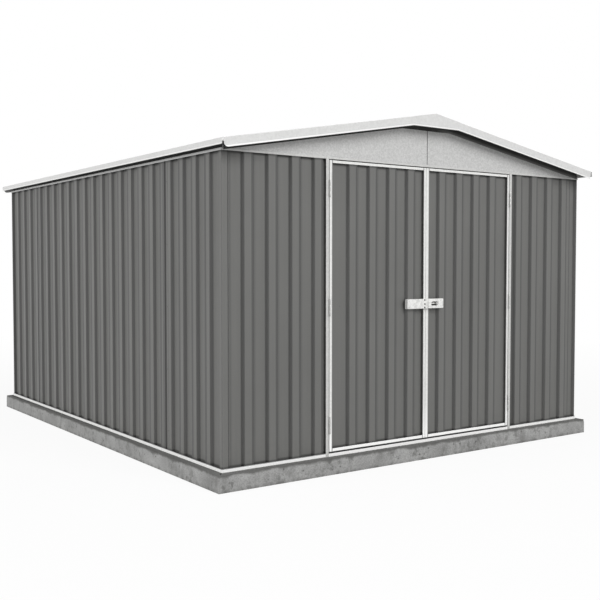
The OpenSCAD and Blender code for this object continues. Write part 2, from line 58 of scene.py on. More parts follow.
RIB_PITCH = 0.158
RIB_W = 0.072
BASE_H, TOP_H = 0.022, 0.014
RAIL_H, TOP_RAIL_H = 0.020, 0.016
LEAF_LOW, LEAF_HIGH = 0.128, 1.880
SIDE_FIRST_RIB = 0.128
SIDE_SEAM_RIB = 0.602
SIDE_MID_RIB = 0.686
SIDE_REAR_RIB = 2.982
ROOF_PITCH = math.radians(9.9)
APEX_Z = 2.21603
ROOF_HALF_D = 1.910
EAVE_X = 1.576
LATCH_Z = 1.005
COVER_FRONT = -1.8452
SEAM_LAP = 0.052
LEFT_FIRST_RIB = 0.143
RIGHT_FIRST_RIB = 0.855
FRONT_PITCH = 0.163
BACK_FIRST_RIB = 0.230
ROOF_FIRST_RIB = 0.136
JAMB_HALF = 0.788
LEAF_X = 0.783
LEAF_W = 0.7805

# Thickness of each family of sheet, and the inside radius of its bends
SHEET_T, SHEET_BEND = 0.0008, 0.0065
TRIM_T, TRIM_BEND = 0.0012, 0.0010
COVER_T, COVER_BEND = 0.0015, 0.0012
SMOOTH_BELOW = math.radians(28)

# Where dust, painted light and shade, and the slab's dark bands lie, in metres: each pair is the start and the end of
# a change
DUST_RISE = 0.42
VALLEY_SHADE_FOOT, VALLEY_SHADE_TOP = (0.005, 0.014), (-0.015, -0.006)
SIDE_WALL = (HALF_W - 0.036, HALF_W - 0.034)
REAR_CORNER = (HALF_D - 0.045, HALF_D - 0.030)
SEAM_Y, SEAM_BAND = -1.133, (0.025, 0.031)
BRIGHT_FOOT = (LEAF_LOW + RAIL_H, LEAF_LOW + 0.25)
MEETING_EDGE, HINGE_EDGE, EDGE_BAND = 0.0235, 0.763, (0.0020, 0.0050)
SILL_GAP_Z, SILL_GAP_BAND = LEAF_LOW - 0.004, (0.0045, 0.0075)
SHADE_FADE_DROP, SHADE_FADE_X = (0.042, 0.070), (0.08, 0.20)
PAST_WALLS = (-0.030, -0.005)
DARK_RIM = (SLAB_T - 0.014, SLAB_T - 0.001)
DARK_FOOT = (0.002, 0.022)

# The lee mask of painted shade: dark up to one value, clear from another, and what it says at a rib's foot and away
# from ribs
LEE_DARK, LEE_CLEAR, LEE_AT_FOOT, NO_LEE = 0.9, 1.05, 0.95, 2.0


def deselect():
    if bpy.context.object and bpy.context.object.mode != "OBJECT":
        bpy.ops.object.mode_set(mode="OBJECT")
    bpy.ops.object.select_all(action="DESELECT")


def pick(piece):
    """Makes a piece the only selected and active one."""
    deselect()
    piece.select_set(True)
    bpy.context.view_layer.objects.active = piece


def edit(piece, mode):
    """Opens a piece in edit mode, with nothing selected, in one select mode."""
    pick(piece)
    bpy.ops.object.mode_set(mode="EDIT")
    bpy.ops.mesh.select_mode(type=mode)
    bpy.ops.mesh.select_all(action="DESELECT")


def leave_edit():
    bpy.ops.object.mode_set(mode="OBJECT")


def place_in_mesh(piece):
    """Leaves a piece at the origin, unturned and unscaled, with its place in its mesh."""
    pick(piece)
    bpy.ops.object.transform_apply(location=True, rotation=True, scale=True)


# Camera, at the photograph's viewing angle

CAMERA_AT = (-4.0286, -6.1013, 1.2589)
CAMERA_YAW = math.radians(35.2803)
CAMERA_DOWN = math.radians(2.2740)
CAMERA_LENS, SENSOR_W, CAMERA_REACH = 53.861, 36, 300

deselect()
bpy.ops.object.camera_add(location=CAMERA_AT, rotation=(math.pi / 2 - CAMERA_DOWN, 0, -CAMERA_YAW))
camera = bpy.context.object
camera.data.sensor_width = SENSOR_W
camera.data.lens = CAMERA_LENS
camera.data.clip_end = CAMERA_REACH
bpy.context.scene.camera = camera


# Finishes


def colour(red, green, blue):
    """A colour written in 0 to 255 as on screen, for a socket."""
    screen = (red / 255, green / 255, blue / 255)
    return (*(c / 12.92 if c <= 0.04045 else ((c + 0.055) / 1.055) ** 2.4 for c in screen), 1)


def add(tree, kind, inputs=None, **settings):
    """Adds a shader node, with its settings, and its inputs as values or as sockets to link."""
    made = tree.nodes.new("ShaderNode" + kind)
    for name, value in settings.items():
        setattr(made, name, value)
    for name, value in (inputs or {}).items():
        if isinstance(value, bpy.types.NodeSocket):
            tree.links.new(value, made.inputs[name])
        else:
            made.inputs[name].default_value = value
    return made


def math_node(tree, operation, first, second):
    return add(tree, "Math", {0: first, 1: second}, operation=operation).outputs[0]


def times(tree, first, second):
    return math_node(tree, "MULTIPLY", first, second)


def minus(tree, first, second):
    return math_node(tree, "SUBTRACT", first, second)


def larger(tree, first, second):
    return math_node(tree, "MAXIMUM", first, second)


def away_from(tree, value, mark=0.0):
    """How far a value lies from a mark, on either side."""
    return math_node(tree, "ABSOLUTE", minus(tree, value, mark), 0.0)


def axes(tree, vector):
    """The parts of a vector: along the front, back from it, and up."""
    return add(tree, "SeparateXYZ", {"Vector": vector}).outputs


def blend(tree, factor, first, second):
    """Mixes two colours."""
    return add(tree, "Mix", {0: factor, 6: first, 7: second}, data_type="RGBA").outputs[2]


def coats(tree, base, layers):
    """Lays tones over a base colour one after another, each with its share."""
    for share, tone in layers:
        base = blend(tree, share, base, tone)
    return base


def ramp(tree, value, low, high, start=0.0, end=1.0):
    """Maps a value from low..high to start..end, held at both ends."""
    inputs = {"Value": value, "From Min": low, "From Max": high, "To Min": start, "To Max": end}
    return add(tree, "MapRange", inputs).outputs["Result"]


def share_of(tree, mask, most):
    """A mask from 0 to 1, cut to a share."""
    return ramp(tree, mask, 0, 1, 0.0, most)


def spread(tree, value, start=0.0, end=1.0):
    """Maps the usual range of a noise to start..end."""
    return ramp(tree, value, 0.3, 0.7, start, end)


def noise(tree, vector, scale, detail=4.0, roughness=0.55):
    inputs = {"Vector": vector, "Scale": scale, "Detail": detail, "Roughness": roughness}
    return add(tree, "TexNoise", inputs).outputs["Fac"]


def cells(tree, vector, scale):
    return add(tree, "TexVoronoi", {"Vector": vector, "Scale": scale}).outputs


def stretched(tree, vector, scale):
    return add(tree, "Mapping", {"Vector": vector, "Scale": scale}).outputs["Vector"]


def new_group(name, inputs, outputs):
    """A shader node group with a vector and named values in, and named values out."""
    group = bpy.data.node_groups.new(name, "ShaderNodeTree")
    group.interface.new_socket(name="Vector", in_out="INPUT", socket_type="NodeSocketVector")
    for label in inputs:
        group.interface.new_socket(name=label, in_out="INPUT", socket_type="NodeSocketFloat")
    for label in outputs:
        group.interface.new_socket(name=label, in_out="OUTPUT", socket_type="NodeSocketFloat")
    return group, group.nodes.new("NodeGroupInput").outputs, group.nodes.new("NodeGroupOutput").inputs


def make_spangle():
    """Crystals of a zinc coat: a tone for each crystal, and a faint relief along their edges."""
    group, given, result = new_group("zinc_spangle", ["Scale"], ["Tone", "Relief"])
    wander = add(group, "TexNoise", {"Vector": given["Vector"], "Scale": 30.0, "Detail": 2.0}).outputs["Color"]
    bent = add(group, "VectorMath", {0: wander, 1: (0.012, 0.012, 0.012)}, operation="MULTIPLY").outputs[0]
    moved = add(group, "VectorMath", {0: given["Vector"], 1: bent}, operation="ADD").outputs[0]
    crystals = cells(group, moved, given["Scale"])
    flecks = cells(group, moved, times(group, given["Scale"], 2.7))
    tone = add(group, "SeparateColor", {"Color": crystals["Color"]}).outputs[0]
    fleck = add(group, "SeparateColor", {"Color": flecks["Color"]}).outputs[1]
    both = math_node(group, "ADD", times(group, tone, 0.65), times(group, fleck, 0.35))
    group.links.new(both, result["Tone"])
    group.links.new(crystals["Distance"], result["Relief"])
    return group


def make_weather():
    """What the weather leaves on a wall: dust above the slab, runs down the sheet, and broad patches."""
    group, given, result = new_group("weathering", [], ["Dust", "Runs", "Patches"])
    height = axes(group, given["Vector"])["Z"]
    fall = math_node(group, "POWER", ramp(group, height, SLAB_T, SLAB_T + DUST_RISE, 1.0, 0.0), 2.2)
    speckle = ramp(group, noise(group, given["Vector"], 38.0, 5.0), 0.35, 0.7)
    runs = noise(group, stretched(group, given["Vector"], (55.0, 55.0, 0.9)), 1.0, 3.0)
    patches = noise(group, given["Vector"], 2.1, 3.0)
    group.links.new(times(group, fall, speckle), result["Dust"])
    group.links.new(spread(group, runs), result["Runs"])
    group.links.new(spread(group, patches), result["Patches"])
    return group


def make_grain():
    """Fine relief of a paint film or rolled surface."""
    group, given, result = new_group("fine_grain", ["Scale"], ["Height"])
    group.links.new(noise(group, given["Vector"], given["Scale"], 2.0, 0.5), result["Height"])
    return group


SPANGLE, WEATHER, GRAIN = make_spangle(), make_weather(), make_grain()


def place(tree, group, vector, **values):
    """Places a shared group in a material."""
    made = tree.nodes.new("ShaderNodeGroup")
    made.node_tree = group
    tree.links.new(vector, made.inputs["Vector"])
    for label, value in values.items():
        made.inputs[label].default_value = value
    return made.outputs


def new_finish(name):
    """An empty material with its principled shader and the object coordinates."""
    finish = bpy.data.materials.new(name)
    finish.use_nodes = True
    tree = finish.node_tree
    shader = tree.nodes["Principled BSDF"]
    return finish, tree, shader, add(tree, "TexCoord").outputs["Object"]


def link_finish(tree, shader, coat, rough, relief, strength, distance):
    """Links a coat's colour, its roughness and its relief to a shader."""
    bump = add(tree, "Bump", {"Strength": strength, "Distance": distance, "Height": relief})
    for label, value in (("Base Color", coat), ("Roughness", rough), ("Normal", bump.outputs["Normal"])):
        tree.links.new(value, shader.inputs[label])


def surface_mask(tree, name):
    """The rolled sheets, the trims and the slab carry their bends, slopes and tops as attributes."""
    return add(tree, "Attribute", attribute_name=name).outputs["Fac"]


def make_wall_paint(name, low, high):
    """Satin grey paint on ribbed sheet, between channels that end at low and high.

    It has painted shade on slopes, on bends and in the lee of the ribs, at the rear corners, on the side walls' front
    seam, and where the sheet meets its channels.
    """
    finish, tree, shader, where = new_finish(name)
    weather = place(tree, WEATHER, where)
    along, depth, height = axes(tree, where)
    slope, bend = surface_mask(tree, "slope"), surface_mask(tree, "bend")
    # Painted shade in the lee of the ribs
    lee = ramp(tree, surface_mask(tree, "lee"), LEE_DARK, LEE_CLEAR, 0.95, 0.0)
    # Painted shade at the rear corners and along the side walls' front seam
    side = ramp(tree, away_from(tree, along), *SIDE_WALL, 0.0, 0.85)
    corner = times(tree, side, ramp(tree, depth, *REAR_CORNER))
    seam = times(tree, side, ramp(tree, away_from(tree, depth, SEAM_Y), *SEAM_BAND, 1.0, 0.0))
    # Painted shade in the ends of the valleys, where the sheet goes behind its channels
    at_foot = ramp(tree, height, *(low + rise for rise in VALLEY_SHADE_FOOT), 1.0, 0.0)
    at_top = ramp(tree, height, *(high + rise for rise in VALLEY_SHADE_TOP))
    hollow = ramp(tree, larger(tree, slope, bend), 0, 1, 0.70, 0.97)
    ends = times(tree, larger(tree, at_foot, at_top), hollow)
    paint = blend(tree, weather["Patches"], colour(99, 99, 97), colour(103, 103, 101))
    paint = coats(tree, paint, [
        (share_of(tree, weather["Runs"], 0.16), colour(91, 91, 89)),
        # Slopes and bends are painted darker as shade; the runs and the dust are real
        (share_of(tree, slope, 0.95), colour(86, 86, 85)),
        (share_of(tree, bend, 0.9), colour(72, 72, 71)),
        (lee, colour(74, 74, 73)),
        (share_of(tree, weather["Dust"], 0.14), colour(126, 123, 118)),
        (corner, colour(52, 52, 51)),
        (seam, colour(76, 76, 75)),
        (ends, colour(42, 42, 41)),
    ])
    rough = ramp(tree, weather["Runs"], 0, 1, 0.46, 0.6)
    grain = place(tree, GRAIN, where, Scale=420.0)["Height"]
    link_finish(tree, shader, paint, rough, grain, 0.06, 0.002)
    shader.inputs["Specular IOR Level"].default_value = 0.5
    return finish


def trim_light_and_shade(tree, where, coat):
    """Painted light on the trims near the slab; painted shade in the gap under the leaves and on their stiles' inner
    edges.
    """
    along, _, height = axes(tree, where)
    across = away_from(tree, along)
    foot = ramp(tree, height, *BRIGHT_FOOT, 1.0, 0.0)
    from_edges = [away_from(tree, across, edge) for edge in (MEETING_EDGE, HINGE_EDGE)]
    edges = ramp(tree, math_node(tree, "MINIMUM", *from_edges), *EDGE_BAND, 0.7, 0.0)
    edges = times(tree, edges, ramp(tree, height, SILL_GAP_Z, LEAF_LOW))
    gap = ramp(tree, away_from(tree, height, SILL_GAP_Z), *SILL_GAP_BAND, 0.75, 0.0)
    return coats(tree, coat, [(foot, colour(254, 254, 253)), (larger(tree, edges, gap), colour(72, 72, 71))])


def make_zinc(name, dull, bright, size, contrast, metal, part=None, tone=None, wear=None):
    """Zinc-coated steel, from near-white folded trim to grey spangled sheet.

    Its crystals mix a dull and a bright tone. A function given as wear can paint light and shade onto it, and one
    marked part takes a given tone: painted shade on level tops and undersides, a painted highlight on leaning lips.
    """
    finish, tree, shader, where = new_finish(name)
    weather = place(tree, WEATHER, where)
    spangle = place(tree, SPANGLE, where, Scale=size)
    coat = blend(tree, ramp(tree, spangle["Tone"], 0.5 - contrast, 0.5 + contrast), dull, bright)
    coat = coats(tree, coat, [
        (share_of(tree, weather["Runs"], 0.10), (*(0.82 * c for c in dull[:3]), 1)),
        (share_of(tree, weather["Dust"], 0.07), colour(178, 173, 164)),
        (share_of(tree, surface_mask(tree, "bend"), 0.35), bright),
    ])
    # The wear function paints light and shade onto the trims
    if wear:
        coat = wear(tree, where, coat)
    # The marked part's tone is painted shade on level tops and undersides, and a painted highlight on lips
    if part:
        coat = blend(tree, surface_mask(tree, part), coat, tone)
    rough = ramp(tree, spangle["Tone"], 0, 1, 0.35, 0.51)
    link_finish(tree, shader, coat, rough, spangle["Relief"], 0.05, 0.001)
    shader.inputs["Metallic"].default_value = metal
    return finish


def make_hardware():
    """Drawn steel of bolt, hinges and fasteners."""
    finish, tree, shader, where = new_finish("hardware_steel")
    drawn = noise(tree, stretched(tree, where, (30.0, 700.0, 700.0)), 1.0, 3.0)
    steel = blend(tree, spread(tree, drawn), colour(168, 168, 166), colour(206, 206, 204))
    link_finish(tree, shader, steel, spread(tree, drawn, 0.3, 0.46), drawn, 0.08, 0.0006)
    shader.inputs["Metallic"].default_value = 0.7
    return finish


def make_shade_strip_foam():
    """Dark open-pored foam for the strips and lines of painted shade, lighter towards the lower edge of the right
    slope.
    """
    finish, tree, shader, where = new_finish("shade_strip_foam")
    faded = noise(tree, where, 9.0, 3.0)
    along, _, height = axes(tree, where)
    slope = times(tree, away_from(tree, along), math.tan(ROOF_PITCH))
    drop = minus(tree, minus(tree, APEX_Z, height), slope)
    # The lighter lower edge is a painted soft edge of the shadow
    edge = times(tree, ramp(tree, drop, *SHADE_FADE_DROP), ramp(tree, along, *SHADE_FADE_X))
    foam = blend(tree, spread(tree, faded), colour(54, 54, 53), colour(68, 68, 66))
    foam = blend(tree, edge, foam, colour(118, 118, 116))
    pores = cells(tree, where, 600.0)["Distance"]
    link_finish(tree, shader, foam, spread(tree, faded, 0.82, 0.95), pores, 0.3, 0.001)
    shader.inputs["Specular IOR Level"].default_value = 0.2
    return finish


def make_concrete():
    """Cast concrete: cloudy, with sand, stones, pores and stains, a darker top ledge outside the walls and a dark
    foot.
    """
    finish, tree, shader, where = new_finish("cast_concrete")
    along, depth, height = axes(tree, where)
    cloud = noise(tree, where, 3.2, 7.0, 0.62)
    stain = noise(tree, stretched(tree, where, (14.0, 14.0, 9.0)), 1.0, 4.0, 0.65)
    sand = noise(tree, where, 130.0, 4.0, 0.7)
    stones = ramp(tree, cells(tree, where, 62.0)["Distance"], 0.16, 0.3, 0.35, 0.0)
    pores = ramp(tree, cells(tree, where, 17.0)["Distance"], 0.05, 0.14, 1.0, 0.0)
    spotted = ramp(tree, noise(tree, where, 4.5, 3.0), 0.44, 0.6)
    spots = times(tree, ramp(tree, noise(tree, where, 26.0, 3.0), 0.56, 0.66), spotted)
    past_side = minus(tree, away_from(tree, along), HALF_W)
    past_end = minus(tree, away_from(tree, depth), HALF_D)
    outside = ramp(tree, larger(tree, past_side, past_end), *PAST_WALLS)
    ragged = noise(tree, stretched(tree, where, (11.0, 11.0, 9.0)), 1.0, 6.0, 0.65)
    edge = math_node(tree, "ADD", height, ramp(tree, ragged, 0.4, 0.68, -0.004, 0.010))
    edge = math_node(tree, "ADD", edge, ramp(tree, noise(tree, where, 1.9, 2.0), 0.52, 0.62, 0.0, 0.008))
    rim = larger(tree, ramp(tree, edge, *DARK_RIM), surface_mask(tree, "slab_top"))
    foot = times(tree, ramp(tree, height, *DARK_FOOT, 0.75, 0.0), ramp(tree, stain, 0.42, 0.6, 0.2, 1.0))
    cement = blend(tree, spread(tree, cloud), colour(138, 138, 137), colour(180, 180, 179))
    cement = coats(tree, cement, [
        (ramp(tree, stain, 0.5, 0.68, 0.0, 0.6), colour(112, 112, 110)),
        (ramp(tree, sand, 0.32, 0.56, 0.7, 0.0), colour(122, 122, 120)),
        (stones, colour(176, 176, 174)),
        (share_of(tree, pores, 0.75), colour(80, 80, 78)),
        (share_of(tree, spots, 0.6), colour(88, 88, 86)),
        (share_of(tree, times(tree, rim, outside), 0.85), colour(93, 93, 91)),
        (foot, colour(92, 92, 90)),
    ])
    relief = minus(tree, times(tree, sand, 0.5), pores)
    link_finish(tree, shader, cement, spread(tree, cloud, 0.82, 0.94), relief, 0.5, 0.003)
    shader.inputs["Specular IOR Level"].default_value = 0.25
    return finish


WALL_PAINT = make_wall_paint("wall_paint", SLAB_T + BASE_H, WALL_TOP - TOP_H)
DOOR_PAINT = make_wall_paint("door_paint", LEAF_LOW + RAIL_H, LEAF_HIGH - TOP_RAIL_H)
# Trims: level tops painted dark as shade in the gaps above the channels and the threshold
ZINC_TRIM = make_zinc(
    "zinc_trim", colour(221, 221, 219), colour(233, 233, 231), 90.0, 0.42, 0.08,
    part="shaded_top", tone=colour(58, 58, 57), wear=trim_light_and_shade,
)
# Roof caps: their leaning lips are lighter, a painted highlight
CAP_ZINC = make_zinc(
    "roof_cap_zinc", colour(205, 205, 204), colour(215, 215, 214), 90.0, 0.42, 0.08,
    part="lip", tone=colour(226, 226, 225),
)
# Jambs and the front and back top channels: undersides painted dark as shade
JAMB_ZINC = make_zinc(
    "jamb_zinc", colour(192, 192, 190), colour(205, 205, 203), 80.0, 0.40, 0.12,
    part="under", tone=colour(66, 66, 65),
)
GALVANISED = make_zinc("galvanised_sheet", colour(181, 181, 180), colour(203, 203, 202), 125.0, 0.36, 0.15)
COVER_ZINC = make_zinc("latch_cover_zinc", colour(210, 210, 208), colour(236, 236, 234), 55.0, 0.30, 0.08)
# Roof sheets: undersides painted dark as shade under the overhangs
ROOF_ZINC = make_zinc(
    "roof_zinc", colour(186, 186, 184), colour(206, 206, 204), 70.0, 0.40, 0.15,
    part="under", tone=colour(68, 68, 67),
)
HARDWARE = make_hardware()
SHADE_STRIP_FOAM = make_shade_strip_foam()
CONCRETE = make_concrete()


# Rolled sheets and folded trims, as merged copies of the solids with true bend radii

# Limits that tell folds, bends and flats apart, in metres and degrees, and those of the masks
SMALLEST_FOLD, SHORTEST_FOLD, BEND_SEGMENTS = 3, 0.010, 3
NARROWEST_FLAT, NARROWEST_BEND, WIDEST_BEND = 0.0018, 0.00085, 0.0028
MERGE_WITHIN, FLAT_WITHIN = 2e-6, math.radians(0.5)
RAY_LIFT, RIM_DEPTH = 1e-4, 0.0005
LEAST_SLOPE, MOST_SLOPE = math.radians(25), math.radians(75)
NARROWEST_CREST, WIDEST_CREST = 0.030, 0.060
CREST_LEE, SIDE_CREST_LEE, FOOT_LEE = 0.0088, 0.0200, 0.016

shown = dict(frame["nodes"])
body_of = {node: body for body, nodes in frame["record"]["behaviour"]["bodies"].items() for node in nodes}


def finish_with(piece, material):
    piece.data.materials.clear()
    piece.data.materials.append(material)


def stand_for(node, prefix):
    """A merged copy of a node's mesh, as a new piece that stands for it."""
    piece = bpy.data.objects.new(f"{prefix}_{node}", frame["nodes"][node].data.copy())
    bpy.context.scene.collection.objects.link(piece)
    edit(piece, "EDGE")
    bpy.ops.mesh.select_all(action="SELECT")
    bpy.ops.mesh.remove_doubles(threshold=MERGE_WITHIN)
    bpy.ops.mesh.dissolve_limited(angle_limit=FLAT_WITHIN)
    leave_edit()
    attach(piece, body_of[node])
    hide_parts(node)
    shown[node] = piece
    return piece


def edge_faces(mesh):
    """The faces on both sides of each edge, by its pair of corners."""
    found = {}
    for face in mesh.polygons:
        for key in face.edge_keys:
            found.setdefault(key, []).append(face)
    return {key: faces for key, faces in found.items() if len(faces) == 2}


def fold_angle(faces):
    """Bend angle between two faces in degrees, negative on the hollow side."""
    angle = math.degrees(faces[0].normal.angle(faces[1].normal, 0))
    hollow = (faces[1].center - faces[0].center).dot(faces[0].normal) > 0
    return -round(angle) if hollow else round(angle)


def surface_tree(mesh):
    return BVHTree.FromPolygons([v.co for v in mesh.vertices], [p.vertices for p in mesh.polygons])


def reaches_past(tree, ends, face):
    """Whether a face goes on past the thickness of a sheet, beside the middle of one of its edges."""
    beside = face.normal.cross(ends[1] - ends[0]).normalized() * NARROWEST_FLAT
    lift = face.normal * RAY_LIFT
    starts = [(ends[0] + ends[1]) / 2 + beside * way + lift for way in (1, -1)]
    return face.index in [tree.ray_cast(start, -lift, 2 * RAY_LIFT)[2] for start in starts]


def is_fold(ends, faces):
    """Any long edge between two flats."""
    return (ends[1] - ends[0]).length > SHORTEST_FOLD


def is_front_rim(ends, faces):
    """An edge round the front of a latch cover, between its front and its sides."""
    at_front = min(ends[0].y, ends[1].y) < COVER_FRONT + RIM_DEPTH
    return at_front and fold_angle(faces) > 0 and min(face.normal.y for face in faces) < -0.99


def edge_key(mesh, corners):
    return tuple(sorted(tuple(round(c, 6) for c in mesh.vertices[i].co) for i in corners))


def round_folds(piece, thickness, bend, chosen):
    """Bevels every chosen fold to its true radius, the outside of a bend by the sheet's thickness more."""
    mesh = piece.data
    tree = surface_tree(mesh)
    folds = {}
    for corners, faces in edge_faces(mesh).items():
        ends, angle = [mesh.vertices[i].co for i in corners], fold_angle(faces)
        if abs(angle) <= SMALLEST_FOLD or not chosen(ends, faces):
            continue
        if all(reaches_past(tree, ends, face) for face in faces):
            folds.setdefault(angle, set()).add(edge_key(mesh, corners))
    for angle, keys in folds.items():
        edit(piece, "EDGE")
        leave_edit()
        for edge in mesh.edges:
            edge.select = edge_key(mesh, edge.vertices) in keys
        bpy.ops.object.mode_set(mode="EDIT")
        radius = bend + (thickness if angle > 0 else 0)
        offset = radius * math.tan(math.radians(abs(angle)) / 2)
        bpy.ops.mesh.bevel(
            offset=offset, offset_type="OFFSET", segments=BEND_SEGMENTS, profile=0.5, clamp_overlap=True
        )
        leave_edit()


def write_mask(mesh, name, values):
    """Keeps one value for each face of a mesh, for its finish."""
    mesh.attributes.new(name, "FLOAT", "FACE").data.foreach_set("value", [float(value) for value in values])


def face_width(mesh, face):
    points = [mesh.vertices[i].co for i in face.vertices]
    longest = max((points[i] - points[i - 1]).length for i in range(len(points)))
    return face.area / longest if longest else 0


def is_slope(face, lean):
    """A face that leans clearly from the plane of its sheet, either way."""
    away = face.normal.angle(lean)
    return LEAST_SLOPE < min(away, math.pi - away) < MOST_SLOPE


def mark_lee(mesh, lean):
    """Writes how near each point of a flat lies to the lee of a rib, for painted shade: a crest's lee edge, or the
    rib's foot.
    """
    across = Vector((0, 0, 1)).cross(lean)
    across = across if across.x + across.y > 0 else -across
    crest_lee = SIDE_CREST_LEE if lean is SIDEWARD else CREST_LEE
    edge = mesh.attributes.new("lee", "FLOAT", "CORNER").data
    for face in mesh.polygons:
        reach = [mesh.vertices[i].co.dot(across) for i in face.vertices]
        first, last = min(reach), max(reach)
        flat = abs(face.normal.dot(lean)) > 0.99 and last - first > NARROWEST_CREST
        for loop, point in zip(face.loop_indices, reach):
            if not flat:
                edge[loop].value = NO_LEE
            elif last - first < WIDEST_CREST:
                edge[loop].value = (last - point) / crest_lee
            else:
                edge[loop].value = LEE_AT_FOOT + (LEE_CLEAR - LEE_AT_FOOT) * (point - first) / FOOT_LEE


def mark_surface(piece, lean):
    """Writes which faces are bends, slopes of ribs, undersides, level tops or leaning lips."""
    mesh, faces = piece.data, piece.data.polygons
    widths = [face_width(mesh, face) for face in faces]
    slopes = [False] * len(faces)
    if lean is not None:
        mark_lee(mesh, lean)
        slopes = [width > WIDEST_BEND and is_slope(face, lean) for face, width in zip(faces, widths)]
    write_mask(mesh, "bend", [NARROWEST_BEND < width < WIDEST_BEND for width in widths])
    write_mask(mesh, "slope", slopes)
    write_mask(mesh, "under", [face.normal.z < -0.3 for face in faces])
    write_mask(mesh, "shaded_top", [face.normal.z > 0.9 for face in faces])
    write_mask(mesh, "lip", [0.05 < face.normal.z < 0.5 for face in faces])


def smooth(piece):
    pick(piece)
    bpy.ops.object.shade_smooth_by_angle(angle=SMOOTH_BELOW)


def flatten_flats(piece):
    """Gives the wide faces their own normals, so that only the bends between them shade as round."""
    pick(piece)
    weighted = piece.modifiers.new("true_flats", "WEIGHTED_NORMAL")
    weighted.keep_sharp = True
    weighted.weight = 100
    bpy.ops.object.modifier_apply(modifier=weighted.name)


def roll(node, thickness, bend, lean, material, chosen=is_fold):
    """A sheet or trim with rounded folds, its marked surface and its finish; lean is the way a ribbed sheet faces."""
    piece = stand_for(node, "rolled" if lean is not None else "folded")
    round_folds(piece, thickness, bend, chosen)
    mark_surface(piece, lean)
    smooth(piece)
    flatten_flats(piece)
    finish_with(piece, material)


FRONTWARD, SIDEWARD = Vector((0, 1, 0)), Vector((1, 0, 0))
LEFT_ROOF = Vector((-math.sin(ROOF_PITCH), 0, math.cos(ROOF_PITCH)))
RIGHT_ROOF = Vector((math.sin(ROOF_PITCH), 0, math.cos(ROOF_PITCH)))

WALL_SHEETS = {
    "left_front_corner_sheet": SIDEWARD,
    "left_wall_sheet": SIDEWARD,
    "left_rear_corner_sheet": SIDEWARD,
    "right_front_corner_sheet": SIDEWARD,
    "right_wall_sheet": SIDEWARD,
    "right_rear_corner_sheet": SIDEWARD,
    "back_wall_sheet": FRONTWARD,
    "front_left_sheet": FRONTWARD,
    "front_right_sheet": FRONTWARD,
}
ROOF_SHEETS = {"left_roof_sheet": LEFT_ROOF, "right_roof_sheet": RIGHT_ROOF}
TRIMS = [
    "left_base_channel", "right_base_channel", "back_base_channel", "front_base_channels", "door_threshold",
    "left_door_stiles", "left_door_rails", "right_door_stiles", "right_door_rails",
]
ROOF_CAPS = [
    "ridge_cap", "eave_trims", "front_barge_caps", "rear_barge_caps", "front_apex_cap", "rear_apex_cap",
    "left_top_channel", "right_top_channel",
]
# The top channels, here and among the roof caps, take darker zinc tones as painted shade under the eaves
JAMB_TONE_TRIMS = ["front_top_channel", "back_top_channel", "left_jamb", "right_jamb"]
for node, lean in WALL_SHEETS.items():
    roll(node, SHEET_T, SHEET_BEND, lean, WALL_PAINT)
for node in ["left_door_sheet", "right_door_sheet"]:
    roll(node, SHEET_T, SHEET_BEND, FRONTWARD, DOOR_PAINT)
for node, lean in ROOF_SHEETS.items():
    roll(node, SHEET_T, SHEET_BEND, lean, ROOF_ZINC)
for node in TRIMS:
    roll(node, TRIM_T, TRIM_BEND, None, ZINC_TRIM)
for node in ROOF_CAPS:
    roll(node, TRIM_T, TRIM_BEND, None, CAP_ZINC)
for node in JAMB_TONE_TRIMS:
    roll(node, TRIM_T, TRIM_BEND, None, JAMB_ZINC)
# The eave rails take the dark wall paint as painted shade in the gap under the eaves
roll("eave_rails", TRIM_T, TRIM_BEND, None, WALL_PAINT)
roll("ridge_beam", TRIM_T, TRIM_BEND, None, GALVANISED)
for node in ["left_latch_cover", "right_latch_cover"]:
    roll(node, COVER_T, COVER_BEND, None, COVER_ZINC, is_front_rim)
for node in ["front_gable_sheets", "rear_gable_sheets"]:
    finish_with(frame["nodes"][node], GALVANISED)


def ease_edges(node, width):
    """A copy of a hardware node with its sharp edges eased."""
    piece = stand_for(node, "eased")
    pick(piece)
    bevel = piece.modifiers.new("eased_edges", "BEVEL")
    bevel.width = width
    bevel.segments = 2
    bevel.limit_method = "ANGLE"
    bevel.angle_limit = math.radians(50)
    bpy.ops.object.modifier_apply(modifier=bevel.name)
    smooth(piece)
    finish_with(piece, HARDWARE)


for node in ["jamb_hinges", "left_door_hinges", "right_door_hinges"]:
    ease_edges(node, width=0.0004)
ease_edges("slide_bolt", width=0.0012)


# Slab, cast with a worn and chipped edge

SLAB_CUTS = 260
SLAB_COURSES = (0.010, 0.022, 0.024, 0.020, 0.014, 0.006, 0.004)
SLAB_RINGS = (0.004, 0.006, 0.012, 0.016)
WORN_BAND, WORN_FROM, ARRIS_H = 0.030, 0.005, 0.012


def extrude_up(height):
    bpy.ops.mesh.extrude_region_move(TRANSFORM_OT_translate={"value": (0, 0, height)})


def wear_down(piece, group, size, depth, contrast, brightness):
    """Pushes the vertices of a group inwards by a cloudy pattern."""
    pattern = bpy.data.textures.new(group, "CLOUDS")
    pattern.noise_scale = size
    pattern.noise_depth = 3
    pattern.contrast = contrast
    pattern.intensity = brightness
    pattern.use_clamp = True
    wear = piece.modifiers.new(group, "DISPLACE")
    wear.texture = pattern
    wear.vertex_group = group
    wear.strength = -depth
    wear.mid_level = 0
    pick(piece)
    bpy.ops.object.modifier_apply(modifier=wear.name)


